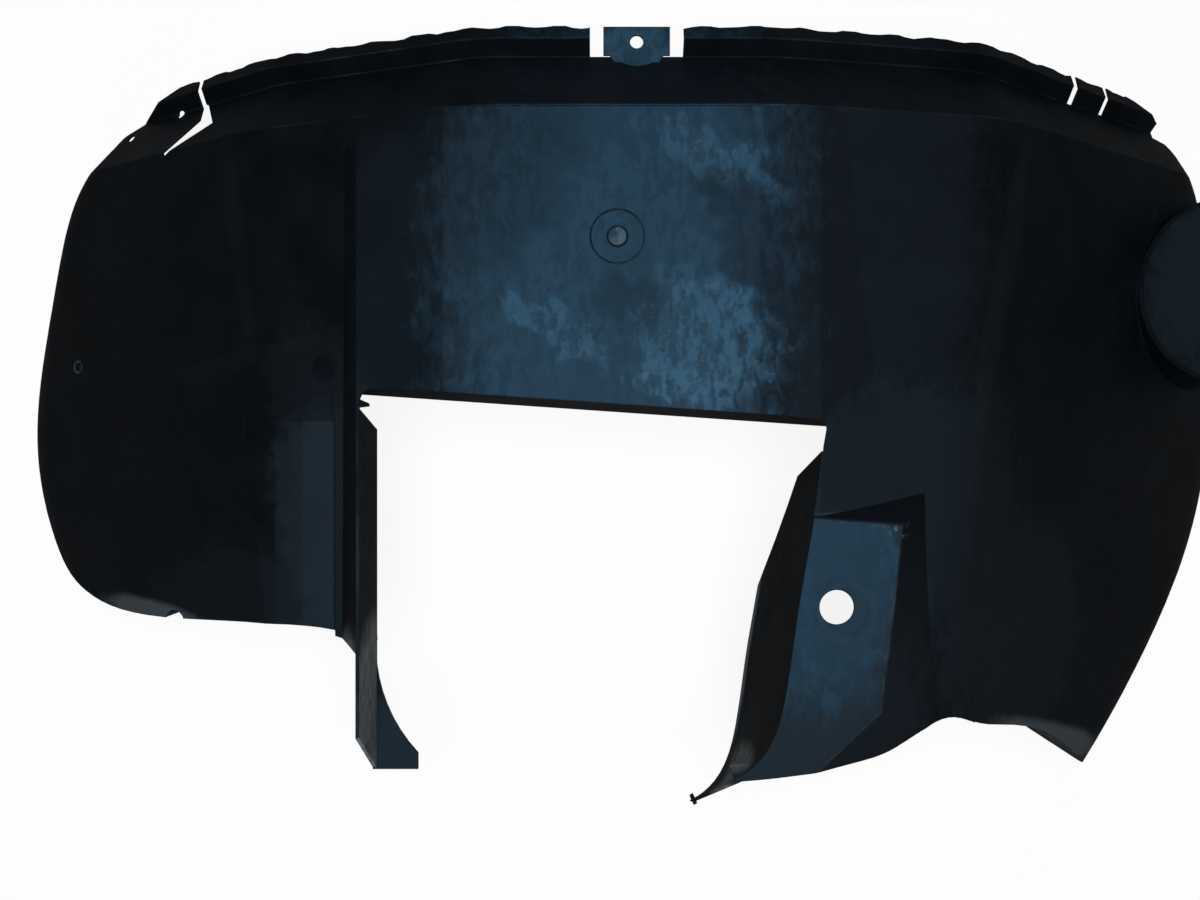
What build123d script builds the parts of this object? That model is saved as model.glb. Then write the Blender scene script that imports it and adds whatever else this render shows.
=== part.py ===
"""Wheel arch liner: one moulded plastic shell that arches over a wheel.

+X runs along the car, +Y points out to the wing, +Z up. The origin is the middle of the box on the ground.
"""

import os
from math import hypot, sin

from build123d import *

# Shell
length = 916
arch_height = 320
wall = 2.5

# Arch section, seen from the wing: shoulders either side of the flat crown, and upright walls at the feet
panel_rise = 4
crown_left = -98
crown_right = 92
crown_left_radius = 90
crown_right_radius = 140
left_shoulder_x = -232
left_shoulder_skew = -0.06
left_shoulder_drop = 74
left_shoulder_radius = 80
left_foot_height = 42
left_foot_radius = 48
right_shoulder_x = 205
right_shoulder_skew = 0.12
right_shoulder_drop = 38
right_shoulder_radius = 80
right_foot_height = 40
right_foot_radius = 60

# Stations across the shell: place in Y, then how far the left and right feet are drawn in there
panel_edge_y = 188
stations = [
    (-250, 88, 150),
    (-164, 63, 68),
    (-100, 28, 26),
    (-15, 0, 0),
    (70, 13, 3),
    (143, 36, 16),
    (panel_edge_y, 66, 38),
]

# Outer lip: a band that falls to a gutter, rises to a ridge and turns down again
gutter_run = 37
gutter_drop = 35
ridge_run = 8.5
ridge_rise = 10
edge_run = 9
edge_drop = 6
lip_left_spread = 0.2
lip_right_spread = 0.8
ragged_depth = 0.9
ragged_pitch = 5.5
ragged_turn = 5.1
ragged_swing = 0.7
ragged_drift = 1.7
left_end = -length / 2
right_end = length / 2
lip_slits = [(left_end + 167, 4), (right_end - 154, 5), (right_end - 122, 4)]
lip_left_end = [
    (left_end + 157, 246),
    (left_end + 113, 227),
    (left_end + 88, 215),
    (left_end + 74, 201),
    (left_end + 68, 193),
]
lip_right_end = [
    (right_end - 116, 246),
    (right_end - 89, 240),
    (right_end - 63, 230),
    (right_end - 67, 219),
    (right_end - 55, 216),
    (right_end - 43, 200),
    (right_end - 36, 195),
    (right_end - 28, 180),
    (right_end - 22, 154),
]
flap_holes = [(left_end + 101, 213), (left_end + 145, 224)]
flap_hole_radius = 3
flap_slit = [
    (left_end + 147, 185),
    (left_end + 183, 205),
    (left_end + 170, 226),
    (left_end + 165, 226),
    (left_end + 168, 212),
    (left_end + 146, 188),
]

# Inner edge of the shell left and right of the cut-out, with the rim that is turned down along it
inner_left = [
    (left_end - 22, -20),
    (left_end + 12, -58),
    (left_end + 31, -92),
    (left_end + 48, -109),
    (left_end + 76, -122),
    (left_end + 110, -127),
    (-298, -126),
    (-257, -123),
    (-205, -122),
    (-160, -131),
]
inner_right = [
    (55, -204),
    (82, -202),
    (106, -199),
    (130, -196),
    (154, -191),
    (183, -176),
    (197, -175),
    (219, -183),
    (249, -190),
    (286, -204),
    (right_end - 147, -222),
    (right_end + 22, -300),
]
rim_depth = 34
notch = (left_end + 150, -130)
notch_radius = 9

# Cut-out for the suspension, open to the inner side, with a flange on its three sides
cutout_left = -158
cutout_left_y = 25
cutout_corner = (115, 6)
cutout_left_radius = 9
cutout_right_radius = 6
post_edge = [(112, -10), (107, -48), (97, -106), (91, -148), (78, -187), (60, -202)]
crown_flange_depth = 30
crown_flange_lean = 4
leg_depth = 75
leg_lean = 37
leg_reach_y = -175
leg_outer_y = cutout_left_y + 13
leg_tear = [
    (cutout_left_y - 7, 0),
    (cutout_left_y - 9.5, leg_depth - 8),
    (cutout_left_y - 12.5, 8),
    (cutout_left_y - 25, leg_depth + 5),
]
foot_width = 26
foot_end = 10
foot_rise = 88
foot_sag = 9
post_depth = 106
post_end_depth = 50
post_full_y = -100
post_lean_x = 20
post_lean_y = 38
post_hook = 3
post_hook_height = 7

# Ledge box beside the cut-out
ledge_step = 4
ledge_drop = 60
ledge_radius = 5
ledge_top = [(50, -47), (157, -56), (144, -164), (50, -253)]
ledge_foot = [(50, -14), (200, -14), (216, -195), (50, -320)]
ledge_hole = (119, -103)
ledge_hole_radius = 10
dimple_radius = 17
dimple_depth = 0.8

# Round pad on the right slope
pad_center = (right_end - 35, 99)
pad_radius = 66
pad_drop = 167
pad_outer_x = right_end - 24
pad_edge_bevel = 3

# Level terrace dented into the left shoulder, as places in X with their drops from the top of the panel
terrace = [(-244, 85.3), (-234, 79.5), (-222, 75.2), (-205, 72.2), (-183, 70.6), (-175, 20)]
terrace_outer_y = 6
terrace_fade = 56
terrace_fade_rise = 40

# Raised panel on the crown, with a bank that carries its left edge on beside the leg
bank_width = 2
bank_reach_y = 85
panel_left_draft = 24
panel_left_run = 52
panel_left_drop = 9
panel_right = 92
panel_right_soft = 18
panel_right_run = 98
panel_right_drop = 36
panel_skirt = 70
panel_inner_y = -50
panel_corner_run = 16
panel_corner = 14
panel_margin = 2
panel_fade_run = 6
panel_fade_drop = 20

# Fixing tab in the middle of the lip
tab_x = 4
tab_width = 40
tab_reach = 17
tab_gap = 8
scallop_radius = 15.5
tab_hole_run = 8
tab_hole_radius = 4

# Injection gate on the crown
gate = (-8, 111)
gate_radius = 15.5
gate_recess = 0.7
stub_radius = 5.75
stub_height = 1.6

crown_z = arch_height - panel_rise
left_shoulder_z = arch_height - left_shoulder_drop
right_shoulder_z = arch_height - right_shoulder_drop
left_foot_slope = (left_shoulder_z - left_foot_height) / (left_shoulder_x - left_end)
right_foot_slope = (right_shoulder_z - right_foot_height) / (right_end - right_shoulder_x)
gutter_y = panel_edge_y + gutter_run
lip_reach_y = gutter_y + ridge_run + edge_run
panel_left = cutout_left - bank_width
panel_outer_y = panel_edge_y - panel_margin
panel_corner_y = panel_outer_y - panel_corner_run
tab_z = arch_height - gutter_drop
tab_reach_y = gutter_y + tab_reach
tab_hole_y = gutter_y + tab_hole_run
leg_foot_z = arch_height - leg_depth
ledge_z = arch_height - ledge_step
pad_z = arch_height - pad_drop


def inset_corners(points, inset):
    """Move every edge of an open outline to its right by the inset and return the new corners."""
    lines = []
    for (x0, z0), (x1, z1) in zip(points, points[1:]):
        run = hypot(x1 - x0, z1 - z0)
        right = (z1 - z0) / run * inset
        down = (x1 - x0) / run * inset
        lines.append((x0 + right, z0 - down, x1 + right, z1 - down))
    corners = [lines[0][:2]]
    for (ax, az, bx, bz), (cx, cz, dx, dz) in zip(lines, lines[1:]):
        cross = (bx - ax) * (dz - cz) - (bz - az) * (dx - cx)
        along = ((cx - ax) * (dz - cz) - (cz - az) * (dx - cx)) / cross
        corners.append((ax + along * (bx - ax), az + along * (bz - az)))
    corners.append(lines[-1][2:])
    return corners


def arch_section(y, left_in, right_in, inset, foot_z):
    """The arch across the shell at one station, moved inwards by the inset."""
    left = left_end + left_in
    right = right_end - right_in
    left_x = left_shoulder_x + left_shoulder_skew * y
    right_x = right_shoulder_x + right_shoulder_skew * y
    outline = [
        (left, foot_z),
        (left, left_shoulder_z - left_foot_slope * (left_x - left)),
        (left_x, left_shoulder_z),
        (crown_left, crown_z),
        (crown_right, crown_z),
        (right_x, right_shoulder_z),
        (right, right_shoulder_z - right_foot_slope * (right - right_x)),
        (right, foot_z),
    ]
    radii = [
        left_foot_radius,
        left_shoulder_radius,
        crown_left_radius,
        crown_right_radius,
        right_shoulder_radius,
        right_foot_radius,
    ]
    with BuildSketch(Plane.XZ.offset(-y)) as section:
        with BuildLine():
            corners = inset_corners(outline, inset)
            arch = FilletPolyline(*corners, radius=[max(r - inset, wall) for r in radii])
            Line(arch @ 1, arch @ 0)
        make_face()
    return section.sketch


def arch_body(inset):
    """The solid under the arch, from the inner side out to the edge of the panel."""
    sections = [arch_section(*station, inset, -inset) for station in stations]
    with BuildPart() as body:
        loft(sections)
    return body.part


def lip_body(inset):
    """The solid under the outer lip, which follows the arch with its own drop at each step."""
    y, left_in, right_in = stations[-1]
    steps = [(0, 0), (gutter_run, gutter_drop), (ridge_run, -ridge_rise), (edge_run + inset, edge_drop)]
    sections = []
    drop = 0
    for run, fall in steps:
        y += run
        drop += fall
        left = left_in - lip_left_spread * drop
        right = right_in - lip_right_spread * drop
        sections.append(arch_section(y, left, right, drop + inset, -inset))
    with BuildPart() as body:
        loft(sections, ruled=True)
    return body.part


def ledge_body(inset):
    """The ledge box: a flat top, rounded outside, with walls that slope out to the arch."""
    with BuildPart() as body:
        for z, outline in ((ledge_z, ledge_top), (ledge_z - ledge_drop, ledge_foot)):
            with BuildSketch(Plane.XY.offset(z - inset)):
                Polygon(*outline, align=None)
                offset(amount=-inset / 2, kind=Kind.INTERSECTION)
        loft(ruled=True)
        if inset == 0:
            fillet(body.faces().sort_by(Axis.Z)[-1].edges(), radius=ledge_radius)
    return body.part


def pad_body(inset):
    """The round pad, level on top, bevelled outside and cut flat on the side away from the crown."""
    with BuildPart() as body:
        with BuildSketch():
            with Locations(pad_center):
                Circle(pad_radius - inset)
            with Locations((pad_outer_x - inset, pad_center[1])):
                Rectangle(length, length, align=(Align.MIN, Align.CENTER), mode=Mode.SUBTRACT)
        extrude(amount=pad_z - inset)
        if inset == 0:
            chamfer(body.faces().sort_by(Axis.Z)[-1].edges(), length=pad_edge_bevel)
    return body.part


def carried_body(sections):
    """A polygon in X and Z carried across the shell through its places in Y."""
    with BuildPart() as body:
        for y, points in sections:
            with BuildSketch(Plane.XZ.offset(-y)):
                Polygon(*points, align=None)
        loft(ruled=True)
    return body.part


def terrace_body(inset):
    """The space above the terrace on the left shoulder, which rises clear at its outer end."""
    top = arch_height + terrace_fade_rise
    points = inset_corners([(x, arch_height - drop) for x, drop in terrace], inset)
    ends = ((-length, 0), (terrace_outer_y, 0), (terrace_outer_y + terrace_fade, terrace_fade_rise))
    sections = []
    for y, rise in ends:
        floor = [(x, z + rise) for x, z in points]
        sections.append((y + inset, floor + [(floor[-1][0], top), (floor[0][0], top)]))
    return carried_body(sections)


def panel_body(inset):
    """The raised panel on the crown, with its outer corner turned in and its edges falling to the arch."""
    sections = []
    for y, turn, fall in (
        (panel_inner_y, 0, 0),
        (panel_corner_y, 0, 0),
        (panel_outer_y, panel_corner, 0),
        (panel_outer_y + panel_fade_run, panel_corner + panel_fade_run, panel_fade_drop),
    ):
        top = arch_height - fall
        left = panel_left + turn
        outline = [
            (left - panel_left_draft, top - panel_skirt),
            (left, top - panel_left_drop),
            (panel_left + panel_left_run, top),
            (panel_right - panel_right_soft, top),
            (panel_right + panel_right_soft, top - panel_right_soft * panel_right_drop / panel_right_run),
            (panel_right + panel_right_run, top - panel_right_drop),
        ]
        sections.append((y - inset / 2, inset_corners(outline, inset)))
    sections[0] = (panel_inner_y + inset, sections[0][1])
    return carried_body(sections)


def leg_bank_body(inset):
    """The bank beside the leg, which carries the left edge of the panel on to the inner side."""
    foot = arch_height - panel_skirt
    top = arch_height - panel_left_drop
    outline = [(panel_left - panel_left_draft, foot), (panel_left, top), (cutout_left + wall, top)]
    points = inset_corners(outline, inset)
    points.append((points[-1][0], foot))
    return carried_body([(-length, points), (bank_reach_y, points)])


def plan_sketch(shift):
    """What the inner edge leaves of the plan when that edge is moved outwards by the shift."""
    with BuildSketch(Plane.XY.offset(-length)) as plan:
        with BuildLine():
            left = Spline(*[(x, y + shift) for x, y in inner_left])
            right = Spline(*[(x, y + shift) for x, y in inner_right])
            Line(left @ 1, right @ 0)
            Polyline(right @ 1, (length, length), (-length, length), left @ 0)
        make_face()
    return plan.sketch


def solid_form(inset):
    """Everything under the liner's skin; the skin is what lies between two of these."""
    with BuildPart() as form:
        add(arch_body(inset))
        add(terrace_body(inset), mode=Mode.SUBTRACT)
        add(panel_body(inset))
        add(leg_bank_body(inset))
        add(ledge_body(inset))
        add(pad_body(inset))
        add(lip_body(inset))
        add(plan_sketch(inset))
        extrude(amount=2 * length, mode=Mode.INTERSECT)
    return form.part


with BuildPart() as rim_waste:
    add(arch_body(rim_depth))
    add(plan_sketch(-wall))
    add(plan_sketch(wall), mode=Mode.SUBTRACT)
    extrude(amount=2 * length, mode=Mode.INTERSECT)

with BuildPart() as cover:
    add(arch_body(0))
    add(panel_body(0))
    add(leg_bank_body(0))
    add(ledge_body(0))

with BuildPart() as flanges:
    # Leg on the left, torn at its outer end
    with BuildSketch(Plane.XY.offset(arch_height)):
        with Locations((cutout_left, leg_reach_y)):
            Rectangle(wall, leg_outer_y - leg_reach_y, align=(Align.MAX, Align.MIN))
    slant = (0, -leg_lean, -leg_depth)
    extrude(amount=hypot(*slant), dir=slant)
    with BuildSketch(Plane.YZ.offset(cutout_left - length)):
        ragged = [(y, arch_height - drop) for y, drop in leg_tear]
        Polygon(*ragged, (leg_outer_y, ragged[-1][1]), (leg_outer_y, ragged[0][1]), align=None)
    extrude(amount=length, mode=Mode.SUBTRACT)
    # Post on the right, swept back with the edge of the ledge and shallower towards its outer end
    with BuildSketch(Plane.XY.offset(arch_height)):
        with BuildLine():
            near = Spline(*post_edge)
            far = Spline(*[(x + wall, y - wall / 2) for x, y in post_edge])
            Line(near @ 0, far @ 0)
            Line(near @ 1, far @ 1)
        make_face()
    slant = (-post_lean_x, -post_lean_y, -post_depth)
    extrude(amount=hypot(*slant), dir=slant)
    with BuildSketch(Plane.YZ):
        end_y = post_edge[0][1]
        end_z = arch_height - post_end_depth
        foot_z = arch_height - post_depth
        toe_y = end_y - post_lean_y * post_end_depth / post_depth
        Polygon(
            (toe_y, end_z),
            (post_full_y, foot_z),
            (post_full_y, foot_z - wall),
            (end_y, foot_z - wall),
            (end_y, end_z),
            align=None,
        )
    extrude(amount=length, mode=Mode.SUBTRACT)
    # Small hook at the tip of the post
    with BuildSketch(Plane.XY.offset(foot_z)):
        along = far % 1
        across = along.rotate(Axis.Z, -90)
        tip = far @ 1 - Vector(post_lean_x, post_lean_y)
        turn = across * (post_hook + wall)
        Polygon(tip, tip + turn, tip - along * wall + turn, tip - along * wall, align=None)
    extrude(amount=post_hook_height)
    # Crown flange along the outer side of the cut-out
    with BuildSketch(Plane.XY.offset(arch_height)):
        x0, y0 = cutout_left - wall, cutout_left_y
        x1, y1 = cutout_corner[0] + wall, cutout_corner[1]
        Polygon((x0, y0), (x1, y1), (x1, y1 + wall), (x0, y0 + wall), align=None)
    slant = (0, -crown_flange_lean, -crown_flange_depth)
    extrude(amount=hypot(*slant), dir=slant)
    # Foot turned in at the bottom of the leg
    with BuildSketch(Plane.XY.offset(leg_foot_z)):
        with BuildLine():
            heel = (cutout_left - wall, leg_reach_y - leg_lean)
            toe = (cutout_left + foot_width, heel[1] + foot_end)
            top = (cutout_left, heel[1] + foot_rise)
            SagittaArc(toe, top, foot_sag)
            Polyline(top, (heel[0], top[1]), heel, (toe[0], heel[1]), toe)
        make_face()
    extrude(amount=wall)
    # Their top edges end at the skin
    add(cover.part, mode=Mode.INTERSECT)

with BuildPart() as tab:
    # Wall of the scallop, from the band of the lip down to the tab
    with BuildSketch(Plane.XY.offset(tab_z - wall)):
        with Locations((tab_x, tab_hole_y)):
            Circle(scallop_radius + wall)
            Circle(scallop_radius, mode=Mode.SUBTRACT)
        with Locations((tab_x, gutter_y)):
            Rectangle(length, length, align=(Align.CENTER, Align.MIN), mode=Mode.SUBTRACT)
    extrude(amount=gutter_drop)
    add(lip_body(0), mode=Mode.INTERSECT)
    # Flat tab
    with BuildSketch(Plane.XY.offset(tab_z - wall)):
        with Locations((tab_x, tab_hole_y)):
            Circle(scallop_radius + wall)
        with Locations((tab_x, tab_reach_y)):
            Rectangle(tab_width, tab_reach_y - gutter_y, align=(Align.CENTER, Align.MAX))
            Rectangle(length, length, align=(Align.CENTER, Align.MAX), mode=Mode.INTERSECT)
    extrude(amount=wall)

with BuildPart() as wheel_arch_liner:
    add(solid_form(0))
    add(solid_form(wall), mode=Mode.SUBTRACT)
    add(rim_waste.part, mode=Mode.SUBTRACT)
    # Cut-out for the suspension
    with BuildSketch():
        with BuildLine():
            FilletPolyline(
                (cutout_left, -length),
                (cutout_left, cutout_left_y),
                cutout_corner,
                post_edge[0],
                radius=[cutout_left_radius, cutout_right_radius],
            )
            Spline(*post_edge)
            Polyline(post_edge[-1], (post_edge[-1][0], -length), (cutout_left, -length))
        make_face()
    extrude(amount=2 * arch_height, mode=Mode.SUBTRACT)
    add(flanges.part)
    # Ends, slits and torn edge of the lip
    with BuildSketch():
        for end, far_x in ((lip_left_end, -length), (lip_right_end, length)):
            Polygon(*end, (far_x, end[-1][1]), (far_x, length), (end[0][0], length), align=None)
        for x, width in lip_slits:
            with Locations((x, gutter_y)):
                Rectangle(width, length, align=(Align.CENTER, Align.MIN))
        Polygon(*flap_slit, align=None)
        torn = []
        for step in range(int(length / ragged_pitch)):
            bite = 1 + sin(ragged_turn * step) + ragged_swing * sin(ragged_drift * step * step)
            torn.append((left_end + step * ragged_pitch, lip_reach_y - ragged_depth * bite))
        Polygon(*torn, (torn[-1][0], length), (torn[0][0], length), align=None)
    extrude(amount=2 * arch_height, mode=Mode.SUBTRACT)
    # Gap that the tab stands in
    with BuildSketch():
        with Locations((tab_x, tab_hole_y)):
            Circle(scallop_radius)
        with Locations((tab_x, gutter_y)):
            Rectangle(tab_width + 2 * tab_gap, length, align=(Align.CENTER, Align.MIN))
    extrude(amount=2 * arch_height, mode=Mode.SUBTRACT)
    add(tab.part)
    # Fixing holes and the notch in the inner edge
    with BuildSketch():
        with Locations((tab_x, tab_hole_y)):
            Circle(tab_hole_radius)
        with Locations(ledge_hole):
            Circle(ledge_hole_radius)
        with Locations(*flap_holes):
            Circle(flap_hole_radius)
        with Locations(notch):
            Circle(notch_radius)
    extrude(amount=2 * arch_height, mode=Mode.SUBTRACT)
    # Dimple round the hole in the ledge
    with BuildSketch(Plane.XY.offset(ledge_z)):
        with Locations(ledge_hole):
            Circle(dimple_radius)
    with BuildSketch(Plane.XY.offset(ledge_z - dimple_depth)):
        with Locations(ledge_hole):
            Circle(ledge_hole_radius)
    loft(mode=Mode.SUBTRACT)
    # Injection gate: a shallow round recess with the stub of the sprue
    with BuildSketch(Plane.XY.offset(arch_height)):
        with Locations(gate):
            Circle(gate_radius)
    extrude(amount=-gate_recess, mode=Mode.SUBTRACT)
    with BuildSketch(Plane.XY.offset(arch_height - gate_recess)):
        with Locations(gate):
            Circle(stub_radius)
    extrude(amount=stub_height)

wheel_arch_liner.part.label = "wheel_arch_liner"

os.makedirs("parts", exist_ok=True)
export_step(wheel_arch_liner.part, "parts/wheel_arch_liner.step")
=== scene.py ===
"""A moulded wheel arch liner on a pale studio floor, seen from straight above."""

import math

import bpy
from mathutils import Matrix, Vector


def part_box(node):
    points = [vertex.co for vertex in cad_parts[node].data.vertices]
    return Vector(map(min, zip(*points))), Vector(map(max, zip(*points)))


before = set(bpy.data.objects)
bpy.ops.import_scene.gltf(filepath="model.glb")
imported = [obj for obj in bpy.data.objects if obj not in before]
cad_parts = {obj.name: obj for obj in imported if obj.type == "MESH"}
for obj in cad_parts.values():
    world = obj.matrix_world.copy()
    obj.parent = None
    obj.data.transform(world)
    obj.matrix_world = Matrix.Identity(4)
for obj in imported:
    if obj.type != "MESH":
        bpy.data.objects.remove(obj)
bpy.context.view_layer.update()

# The liner is one injection moulding of black polypropylene: arch, lip, tab, ledge box and flanges.
# It comes out of the tool in one piece and is clipped and screwed inside the wing of a car.
# The solid itself is shown, with its own smooth normals.
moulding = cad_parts["wheel_arch_liner"]

# The plastic is near black with a fine moulded grain and a blue cast in its soft gloss.
# A painted blue sheen lies on the level faces in feathery patches, with grey dust and more painted sheen
# beside it.
# Edges and corners are rubbed paler, painted highlights lie along some ridges and edges, and the gate has
# left flow marks round it.
plastic_black = (0.0018, 0.0021, 0.0028, 1)
plastic_mottled = (0.0036, 0.0045, 0.0058, 1)
# Grey dust with painted sheen
dust_and_sheen_grey = (0.0085, 0.0125, 0.0170, 1)
# The two film colours are a painted sheen, blue and at its palest
painted_sheen_blue = (0.0105, 0.0285, 0.0490, 1)
painted_sheen_pale = (0.027, 0.078, 0.134, 1)
# Pale grey for rubbed wear and for painted highlights
wear_and_highlight_grey = (0.150, 0.180, 0.205, 1)
scuffed_pale = (0.30, 0.33, 0.35, 1)
crown_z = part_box("wheel_arch_liner")[1][2]
any_height = 1000
edge_radius = 0.0014
black_plastic = bpy.data.materials.new("black_plastic")
black_plastic.use_nodes = True
plastic = black_plastic.node_tree


def wire(tree, kind, output, inputs, **settings):
    """Add a node with its settings, feed its inputs with sockets or plain values, give one output."""
    node = tree.nodes.new(kind)
    for name, value in settings.items():
        setattr(node, name, value)
    for key, value in inputs.items():
        if isinstance(value, bpy.types.NodeSocket):
            tree.links.new(value, node.inputs[key])
        else:
            node.inputs[key].default_value = value
    return node.outputs[output]


def reckon(tree, operation, *values):
    """The result of an arithmetic operation on one, two or three values."""
    return wire(tree, "ShaderNodeMath", 0, dict(enumerate(values)), operation=operation)


def ramp(tree, value, low, high, at_low=0.0, at_high=1.0):
    """A smooth step from at_low to at_high while the value goes from low to high."""
    inputs = {"Value": value, "From Min": low, "From Max": high, "To Min": at_low, "To Max": at_high}
    return wire(tree, "ShaderNodeMapRange", 0, inputs, interpolation_type="SMOOTHSTEP")


def cloud(tree, place, scale, detail, swirl=0.0):
    """Fractal noise with a number of cells per metre, drawn out into swirls."""
    inputs = {"Vector": place, "Scale": scale, "Detail": detail, "Roughness": 0.6, "Distortion": swirl}
    return wire(tree, "ShaderNodeTexNoise", "Fac", inputs)


def mark(tree, place, centre, size, turn=0.0):
    """How far a point lies from a mark's centre, where 1 is the edge of an ellipsoid of that size."""
    inputs = {"Vector": place, "Location": centre, "Rotation": (0, 0, turn), "Scale": size}
    moved = wire(tree, "ShaderNodeMapping", 0, inputs, vector_type="TEXTURE")
    return wire(tree, "ShaderNodeVectorMath", "Value", {0: moved}, operation="LENGTH")


def laid_over(tree, share, under, over):
    """One colour laid over another by a share from 0 to 1."""
    return wire(tree, "ShaderNodeMix", 2, {0: share, 6: under, 7: over}, data_type="RGBA")


place = wire(plastic, "ShaderNodeTexCoord", "Object", {})
facing = wire(plastic, "ShaderNodeNewGeometry", "Normal", {})
rounded = wire(plastic, "ShaderNodeBevel", 0, {"Radius": edge_radius}, samples=2)
upright = wire(plastic, "ShaderNodeSeparateXYZ", "Z", {"Vector": facing})
level = ramp(plastic, upright, 0.68, 0.93)
bent = wire(plastic, "ShaderNodeVectorMath", "Value", {0: facing, 1: rounded}, operation="DOT_PRODUCT")
edge = ramp(plastic, bent, 0.998, 0.93)

# Feathers: broad clouds whose borders fray along the strokes of an old wipe
stroke_turn = 0.8
strokes = {"Vector": place, "Rotation": (0, 0, stroke_turn), "Scale": (1, 0.5, 1)}
fray = cloud(plastic, wire(plastic, "ShaderNodeMapping", 0, strokes), 170, 6, 0.4)
clouds = cloud(plastic, place, 13, 3)
feathers = reckon(plastic, "MULTIPLY_ADD", reckon(plastic, "SUBTRACT", fray, 0.5), 0.5, clouds)
patches = ramp(plastic, feathers, 0.46, 0.56)
mottle = cloud(plastic, place, 26, 4)
specks = ramp(plastic, cloud(plastic, place, 330, 1), 0.56, 0.66)

# Painted sheen, each place as (middle, half size, turn about Z, strength): on the panel and tab
sheen_places = [
    ((-0.008, 0.095, crown_z), (0.088, 0.165, any_height), -0.12, 1.0),
    ((0.004, 0.232, crown_z), (0.022, 0.020, any_height), 0.0, 1.0),
]
# Painted sheen on the ledge box
sheen_on_ledge = [((0.110, -0.074, crown_z), (0.052, 0.080, any_height), 0.0, 0.9)]
# Grey dust with painted sheen on the right of the crown, terrace, ledge, pad, foot and the lower left slope
dust_and_sheen_places = [
    ((0.165, -0.045, crown_z), (0.080, 0.075, any_height), 0.2, 0.85),
    ((0.140, 0.100, crown_z), (0.075, 0.130, any_height), 0.0, 0.4),
    ((-0.188, -0.060, crown_z), (0.030, 0.085, any_height), 0.0, 1.0),
    ((0.100, -0.150, crown_z), (0.080, 0.090, any_height), 0.0, 1.0),
    ((0.424, 0.099, crown_z), (0.060, 0.066, any_height), 0.0, 0.75),
    ((-0.145, -0.195, crown_z), (0.030, 0.030, any_height), 0.0, 1.0),
    ((-0.240, -0.110, crown_z), (0.080, 0.030, any_height), 0.0, 0.5),
    ((-0.190, 0.025, crown_z), (0.034, 0.040, any_height), 0.0, 0.4),
    ((0.246, -0.130, crown_z), (0.060, 0.075, any_height), 0.2, 0.9),
]
# Places where the painted sheen is thinned, so they stay darker
sheen_thinned_places = [
    ((0.062, 0.133, crown_z), (0.028, 0.011, any_height), -0.5, 0.55),
    ((0.076, 0.095, crown_z), (0.014, 0.036, any_height), 0.35, 0.55),
    ((0.004, 0.072, crown_z), (0.026, 0.014, any_height), -0.3, 0.4),
    ((-0.070, 0.140, crown_z), (0.030, 0.050, any_height), -0.5, 0.45),
]
# Places where the painted sheen is palest, the brightest painted highlights
sheen_brightest_places = [
    ((0.046, 0.048, crown_z), (0.040, 0.034, any_height), -0.5, 0.75),
    ((0.046, 0.157, crown_z), (0.040, 0.014, any_height), -0.5, 0.5),
    ((-0.045, 0.058, crown_z), (0.034, 0.010, any_height), -0.5, 0.6),
    ((0.030, 0.026, crown_z), (0.026, 0.006, any_height), -0.1, 0.9),
    ((0.004, 0.232, crown_z), (0.030, 0.014, any_height), 0.0, 0.35),
]
# The places' borders ripple: points are moved by noise before their distance is taken
ripple_reach = 0.05
rippling = {"Vector": place, "Scale": 30, "Detail": 2, "Roughness": 0.8}
ripple = wire(plastic, "ShaderNodeTexNoise", "Color", rippling)
ripple = wire(plastic, "ShaderNodeVectorMath", 0, {0: ripple, 1: (0.5, 0.5, 0.5)}, operation="SUBTRACT")
warp = {0: ripple, 1: (ripple_reach, ripple_reach, 0), 2: place}
warped = wire(plastic, "ShaderNodeVectorMath", 0, warp, operation="MULTIPLY_ADD")


def laid(places):
    """The share of any of several places: each fades out past its edge, which ripples and frays."""
    share = 0.0
    for centre, size, turn, strength in places:
        frayed = reckon(plastic, "MULTIPLY_ADD", fray, -0.9, mark(plastic, warped, centre, size, turn))
        share = reckon(plastic, "MAXIMUM", share, ramp(plastic, frayed, 0.95, 0.25, 0.0, strength))
    return share


# Dust and painted sheen stay off the steep faces; a small round dimple beside the terrace keeps less of
# them, painted darker as painted shade
dimple_shade_place = (-0.187, 0.038, 0.25)
dimple_shade_size = (0.0075, 0.0075, any_height)
dust_and_sheen = reckon(plastic, "MULTIPLY", laid(dust_and_sheen_places), ramp(plastic, upright, 0.5, 0.85))
dimple_shade = ramp(plastic, mark(plastic, place, dimple_shade_place, dimple_shade_size), 1.2, 0.8)
dust_and_sheen = reckon(plastic, "MULTIPLY", dust_and_sheen, ramp(plastic, dimple_shade, 0.0, 1.0, 1.0, 0.3))

# The painted sheen stays off the steep faces, is thinned in the listed places, and is dimmed round the
# ledge's hole as painted shade in its dimple
ledge_start = -0.047
ledge_full = -0.051
hole_place = (0.1250, -0.1060, crown_z)
hole_surround = (0.0145, 0.0150, any_height)
patch_strength = 0.16
sheen_thinning = laid(sheen_thinned_places)
sheen_brightest = laid(sheen_brightest_places)
outward = wire(plastic, "ShaderNodeSeparateXYZ", "Y", {"Vector": place})
past_ledge = ramp(plastic, outward, ledge_start, ledge_full)
painted_sheen = reckon(plastic, "MULTIPLY", laid(sheen_on_ledge), past_ledge)
painted_sheen = reckon(plastic, "MULTIPLY", reckon(plastic, "MAXIMUM", painted_sheen, laid(sheen_places)), level)
painted_sheen = reckon(plastic, "MULTIPLY", painted_sheen, reckon(plastic, "SUBTRACT", 1.0, sheen_thinning))
painted_sheen = reckon(plastic, "MULTIPLY", painted_sheen, ramp(plastic, fray, 0.36, 0.56, 0.84, 1.0))
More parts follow.
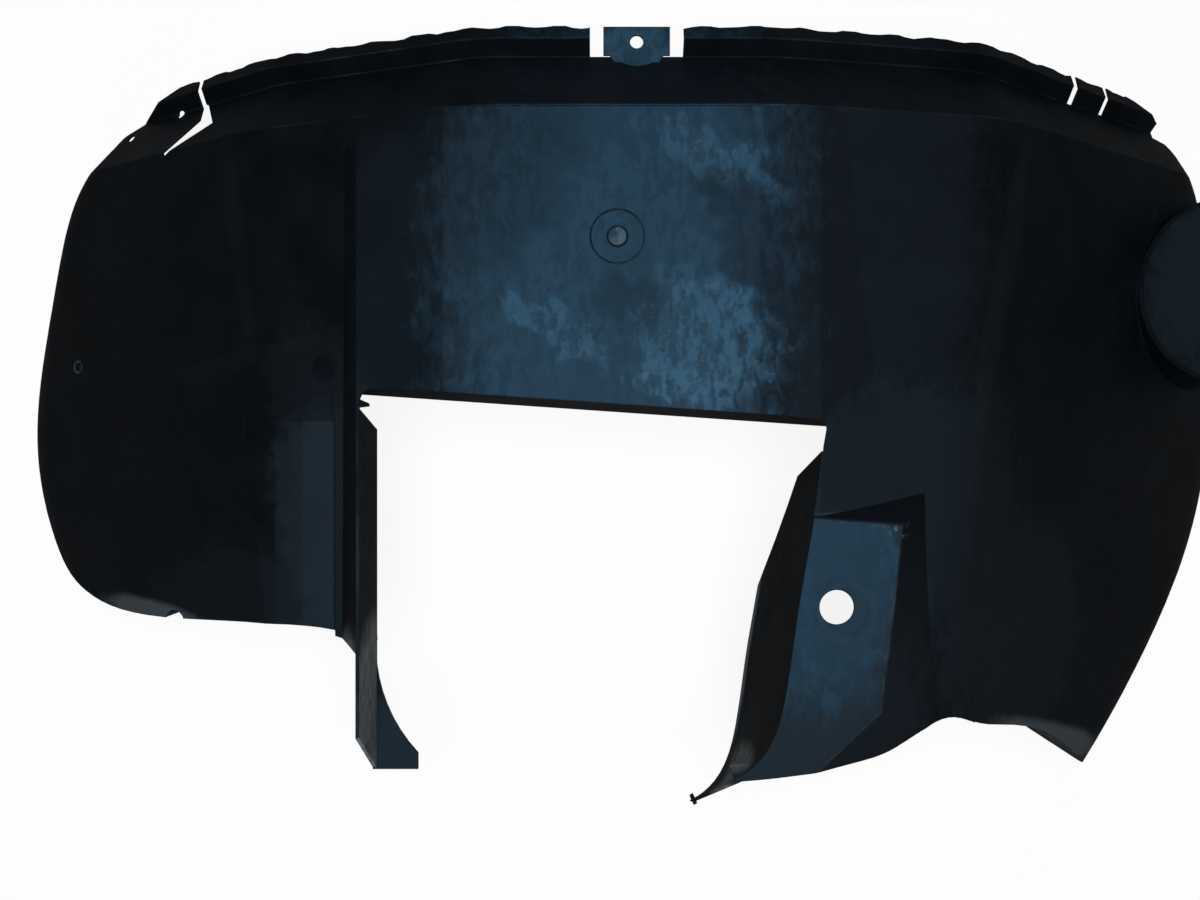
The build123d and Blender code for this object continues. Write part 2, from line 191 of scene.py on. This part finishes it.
# Painted shade: the painted sheen is dimmed in the dimple round the ledge's hole
from_hole = mark(plastic, place, hole_place, hole_surround)
painted_sheen = reckon(plastic, "MULTIPLY", painted_sheen, ramp(plastic, from_hole, 0.75, 1.05, 0.55, 1.0))
pale = reckon(plastic, "MULTIPLY", patches, patch_strength)
pale = reckon(plastic, "MAXIMUM", pale, sheen_brightest)
pale = reckon(plastic, "MULTIPLY", pale, ramp(plastic, fray, 0.42, 0.58, 0.3, 1.0))

# The gate, where the plastic came in: a ring, a cut-off stub and flow rings that fade with distance
gate_place = (-0.008, 0.111, crown_z)
gate_radius = 0.0155
gate_line = 0.0006
stub_radius = 0.0058
stub_line = 0.0007
ring_rate = 1500
ring_strength = 0.05
flow_start = 0.014
flow_end = 0.048
from_gate = mark(plastic, place, gate_place, (1, 1, any_height))
rings = reckon(plastic, "SINE", reckon(plastic, "MULTIPLY", from_gate, ring_rate))
flow = reckon(plastic, "MULTIPLY", rings, ramp(plastic, from_gate, flow_start, flow_end, 1.0, 0.0))
gate_rim = reckon(plastic, "COMPARE", from_gate, gate_radius, gate_line)
stub_rim = reckon(plastic, "COMPARE", from_gate, stub_radius, stub_line)
gate_rims = reckon(plastic, "MAXIMUM", gate_rim, stub_rim)
gate_rims = reckon(plastic, "MULTIPLY", gate_rims, ramp(plastic, fray, 0.40, 0.55, 0.4, 1.0))
# The painted sheen is taken off along the gate's and the stub's rims, so they show as thin dark lines
painted_sheen = reckon(plastic, "MULTIPLY", painted_sheen, ramp(plastic, gate_rims, 0, 1, 1.0, 0.1))
painted_sheen = reckon(plastic, "MULTIPLY_ADD", flow, ring_strength, painted_sheen)
stub = ramp(plastic, from_gate, stub_radius, 0.8 * stub_radius)

# Rubbed and highlit places, as (middle, half size, turn about Z, strength): two lip corners rubbed paler
# with painted highlight, painted highlight lines on three ridges, and a painted highlight along the post's
# lower edge
rubbed_and_highlit_places = [
    ((-0.330, -0.125, 0.10), (0.058, 0.011, any_height), -0.10, 0.40),
    ((0.290, -0.208, 0.16), (0.070, 0.014, any_height), -0.35, 0.35),
    ((0.226, 0.079, 0.25), (0.010, 0.130, any_height), -0.19, 0.014),
    ((-0.247, 0.117, 0.20), (0.009, 0.080, any_height), 0.13, 0.011),
    ((-0.250, 0.045, 0.20), (0.075, 0.009, any_height), 0.16, 0.011),
    ((0.070, -0.120, 0.214), (0.110, 0.120, 0.010), 0.0, 0.9),
]
# Edges are rubbed a little all round, and more on the outer lip
lip_start = 0.180
lip_full = 0.195
lip_wear = 0.18
all_round_wear = 0.04
on_lip = ramp(plastic, outward, lip_start, lip_full)
edge_wear = reckon(plastic, "MULTIPLY_ADD", on_lip, lip_wear, all_round_wear)
edge_wear = reckon(plastic, "MULTIPLY", edge_wear, ramp(plastic, mottle, 0.42, 0.66, 0.3, 1.2))
wear_and_highlights = reckon(plastic, "MULTIPLY", edge, edge_wear)
for centre, size, turn, strength in rubbed_and_highlit_places:
    frayed = reckon(plastic, "MULTIPLY_ADD", mottle, -0.5, mark(plastic, place, centre, size, turn))
    wear_and_highlights = reckon(plastic, "MAXIMUM", wear_and_highlights, ramp(plastic, frayed, 0.75, 0.25, 0.0, strength))

# The steep side of the leg is scuffed all over, and so is the tip of the post
leg_place = (-0.160, -0.165, 0.26)
leg_size = (0.022, 0.055, 0.07)
post_place = (0.062, -0.208, 0.27)
post_size = (0.014, 0.022, 0.05)
post_turn = -0.7
steep = ramp(plastic, upright, 0.75, 0.45)
leg_side = ramp(plastic, mark(plastic, place, leg_place, leg_size), 1.1, 0.7)
post_tip = ramp(plastic, mark(plastic, place, post_place, post_size, post_turn), 1.1, 0.3)
steep_scuff = reckon(plastic, "MULTIPLY", steep, ramp(plastic, fray, 0.35, 0.6, 0.45, 1.0))
steep_scuff = reckon(plastic, "MULTIPLY", reckon(plastic, "MAXIMUM", leg_side, post_tip), steep_scuff)

# The ledge box: painted highlights along its rounded edges and round its hole, and one corner is scratched
ledge_place = (0.105, -0.125, 0.315)
ledge_size = (0.10, 0.16, 0.014)
corner_place = (0.156, -0.058, 0.315)
corner_size = (0.009, 0.006, 0.02)
scratch_strength = 0.4
near_ledge = ramp(plastic, mark(plastic, place, ledge_place, ledge_size), 1.0, 0.8)
near_ledge = reckon(plastic, "MULTIPLY", near_ledge, past_ledge)
# Painted highlight along the ledge box's rounded edges, on the band where they tilt part way
rounding = ramp(plastic, upright, 0.80, 0.90)
rounding = reckon(plastic, "MULTIPLY", rounding, ramp(plastic, upright, 0.995, 0.96))
ledge_highlight = reckon(plastic, "MULTIPLY", rounding, ramp(plastic, fray, 0.35, 0.6, 0.02, 0.09))
ledge_highlight = reckon(plastic, "MULTIPLY", near_ledge, ledge_highlight)
# A painted highlight ring round the ledge's hole
hole_rim_highlight = ramp(plastic, reckon(plastic, "ABSOLUTE", reckon(plastic, "SUBTRACT", from_hole, 1.1)), 0.2, 0.0)
hole_rim_highlight = reckon(plastic, "MULTIPLY", hole_rim_highlight, ramp(plastic, mottle, 0.4, 0.6, 0.01, 0.05))
hole_rim_highlight = reckon(plastic, "MULTIPLY", near_ledge, hole_rim_highlight)
ledge_highlight = reckon(plastic, "MAXIMUM", ledge_highlight, hole_rim_highlight)
corner = ramp(plastic, mark(plastic, place, corner_place, corner_size), 1.2, 0.3)
scratched = reckon(plastic, "MULTIPLY", corner, reckon(plastic, "MULTIPLY", specks, scratch_strength))
wear_and_highlights = reckon(plastic, "MAXIMUM", wear_and_highlights, reckon(plastic, "MAXIMUM", ledge_highlight, scratched))

# Fine scuffs here and there, drawn out along one direction
drag_turn = 0.6
drag_stretch = 14
drag = {"Vector": place, "Rotation": (0, 0, drag_turn), "Scale": (drag_stretch, 1, 1)}
scuffs = cloud(plastic, wire(plastic, "ShaderNodeMapping", 0, drag), 60, 3)
scuffed = ramp(plastic, mottle, 0.5, 0.62, 0.0, 0.015)
scuffed = reckon(plastic, "MULTIPLY", ramp(plastic, scuffs, 0.66, 0.74), scuffed)

# A small round ejector mark on the left slope
ejector_place = (-0.402, 0.049, 0.1)
ejector_size = (0.004, 0.004, any_height)
ejector_line = 0.22
from_ejector = mark(plastic, place, ejector_place, ejector_size)
ejector = reckon(plastic, "COMPARE", from_ejector, 1.0, ejector_line)
ejector = reckon(plastic, "MULTIPLY", ejector, ramp(plastic, fray, 0.4, 0.55, 0.05, 0.3))

# Colour from the plastic up: dust with painted sheen, painted sheen, wear with painted highlights, and
# scuffs
speck_strength = 0.12
base = laid_over(plastic, ramp(plastic, mottle, 0.35, 0.7), plastic_black, plastic_mottled)
base = laid_over(plastic, dust_and_sheen, base, dust_and_sheen_grey)
painted_sheen_colour = laid_over(plastic, pale, painted_sheen_blue, painted_sheen_pale)
base = laid_over(plastic, painted_sheen, base, painted_sheen_colour)
# Pale specks, only within the palest painted sheen
sheen_specks = reckon(plastic, "MULTIPLY", specks, reckon(plastic, "MULTIPLY", sheen_brightest, speck_strength))
wear_and_highlight_share = reckon(plastic, "MAXIMUM", wear_and_highlights, sheen_specks)
wear_and_highlight_share = reckon(plastic, "MAXIMUM", wear_and_highlight_share, scuffed)
wear_and_highlight_share = reckon(plastic, "MAXIMUM", wear_and_highlight_share, ejector)
stub_glint = reckon(plastic, "MULTIPLY", stub, ramp(plastic, fray, 0.5, 0.62, 0.0, 0.3))
wear_and_highlight_share = reckon(plastic, "MAXIMUM", wear_and_highlight_share, stub_glint)
base = laid_over(plastic, wear_and_highlight_share, base, wear_and_highlight_grey)
base = laid_over(plastic, steep_scuff, base, scuffed_pale)

# The steep faces are duller than the level ones, and worn and highlit places and feathery patches are
# duller again
steep_dullness = 0.66
level_dullness = 0.54
patch_dullness = 0.06
wear_and_highlight_dullness = 0.18
dullness = ramp(plastic, upright, 0.45, 0.98, steep_dullness, level_dullness)
dullness = reckon(plastic, "MULTIPLY_ADD", patches, patch_dullness, dullness)
dullness = reckon(plastic, "MULTIPLY_ADD", wear_and_highlight_share, wear_and_highlight_dullness, dullness)

# Relief: moulded grain, soft waves of the cooled skin, the flow marks and the stub, as heights in metres
grain_height = 0.00006
wave_height = 0.0022
flow_height = 0.00004
stub_height = 0.0005
relief_strength = 0.6
grain = cloud(plastic, place, 1300, 1)
waves = cloud(plastic, place, 14, 1)
relief = reckon(plastic, "MULTIPLY", grain, grain_height)
relief = reckon(plastic, "MULTIPLY_ADD", waves, wave_height, relief)
relief = reckon(plastic, "MULTIPLY_ADD", flow, flow_height, relief)
relief = reckon(plastic, "MULTIPLY_ADD", stub, stub_height, relief)
raised = {"Strength": relief_strength, "Distance": 1.0, "Height": relief, "Normal": rounded}
bumped = wire(plastic, "ShaderNodeBump", 0, raised)

# The finished plastic: a weak, blue shine
shine = 0.12
shine_blue = (0.36, 0.70, 1.0, 1)
shader = plastic.nodes["Principled BSDF"]
shader.inputs["Specular IOR Level"].default_value = shine
shader.inputs["Specular Tint"].default_value = shine_blue
plastic.links.new(base, shader.inputs["Base Color"])
plastic.links.new(dullness, shader.inputs["Roughness"])
plastic.links.new(bumped, shader.inputs["Normal"])
moulding.material_slots[0].material = black_plastic

# The floor is a plain matt studio sheet, laid flat under the liner's two feet.
# The camera sees it white by its own glow, and it keeps the liner's shadow.
floor_half = 4.0
floor_grey = (0.17, 0.17, 0.17, 1)
floor_dullness = 0.9
floor_glow = 0.87
mirror_glow = 0.10
floor_mesh = bpy.data.meshes.new("studio_floor")
floor_corners = [(-1, -1), (1, -1), (1, 1), (-1, 1)]
floor_mesh.from_pydata([(floor_half * x, floor_half * y, 0) for x, y in floor_corners], [], [(0, 1, 2, 3)])
floor = bpy.data.objects.new("studio_floor", floor_mesh)
bpy.context.scene.collection.objects.link(floor)
floor_sheet = bpy.data.materials.new("floor_sheet")
floor_sheet.use_nodes = True
sheet = floor_sheet.node_tree


def seen_glow(tree, to_eye, to_mirror, to_rest):
    """A glow that the camera and clear glass see in full, gloss sees in part and the rest sees least."""
    rays = tree.nodes.new("ShaderNodeLightPath")
    eye = reckon(tree, "MAXIMUM", rays.outputs["Is Camera Ray"], rays.outputs["Is Transmission Ray"])
    glow = reckon(tree, "MULTIPLY_ADD", eye, to_eye - to_rest, to_rest)
    return reckon(tree, "MULTIPLY_ADD", rays.outputs["Is Glossy Ray"], to_mirror - to_rest, glow)


sheet_shader = sheet.nodes["Principled BSDF"]
sheet_shader.inputs["Base Color"].default_value = floor_grey
sheet_shader.inputs["Roughness"].default_value = floor_dullness
sheet_shader.inputs["Specular IOR Level"].default_value = 0.0
sheet_shader.inputs["Emission Color"].default_value = (1, 1, 1, 1)
sheet.links.new(seen_glow(sheet, floor_glow, mirror_glow, 0.0), sheet_shader.inputs["Emission Strength"])
floor_mesh.materials.append(floor_sheet)

# One soft light hangs over the camera, where the photograph's own light was.
# Two dim ones stand in front and behind, turned to the liner, in a dim room with pale walls.
room_light = 0.04
room_mirror = 0.12
# Each softbox as (name, width in metres, watts, place)
softboxes = [
    ("key_softbox", 0.5, 17, (-0.02, -0.02, 1.6)),
    ("front_fill", 1.2, 6, (0.0, -2.0, 1.9)),
    ("back_fill", 1.2, 6, (0.0, 2.0, 1.9)),
]
for name, size, power, spot in softboxes:
    lamp = bpy.data.lights.new(name, "AREA")
    lamp.shape = "DISK"
    lamp.size = size
    lamp.energy = power
    softbox = bpy.data.objects.new(name, lamp)
    softbox.location = spot
    softbox.rotation_euler = (-math.atan2(spot[1], spot[2]), 0, 0)
    bpy.context.scene.collection.objects.link(softbox)
room = bpy.data.worlds.new("room")
room.use_nodes = True
room_walls = room.node_tree.nodes["Background"]
room_walls.inputs["Color"].default_value = (1, 1, 1, 1)
room_glow = seen_glow(room.node_tree, floor_glow, room_mirror, room_light)
room.node_tree.links.new(room_glow, room_walls.inputs["Strength"])
bpy.context.scene.world = room

# The camera looks straight down from a little over a metre, where the photograph was taken.
# It sits over the middle of the photograph, a little to the left of and below the liner's middle.
camera_place = (-0.018, -0.012, 1.125)
sensor_mm = 36
lens_mm = 42
camera = bpy.data.cameras.new("camera")
camera.sensor_fit = "HORIZONTAL"
camera.sensor_width = sensor_mm
camera.lens = lens_mm
camera_stand = bpy.data.objects.new("camera", camera)
camera_stand.location = camera_place
bpy.context.scene.collection.objects.link(camera_stand)
bpy.context.scene.camera = camera_stand
bpy.context.scene.view_settings.view_transform = "Standard"
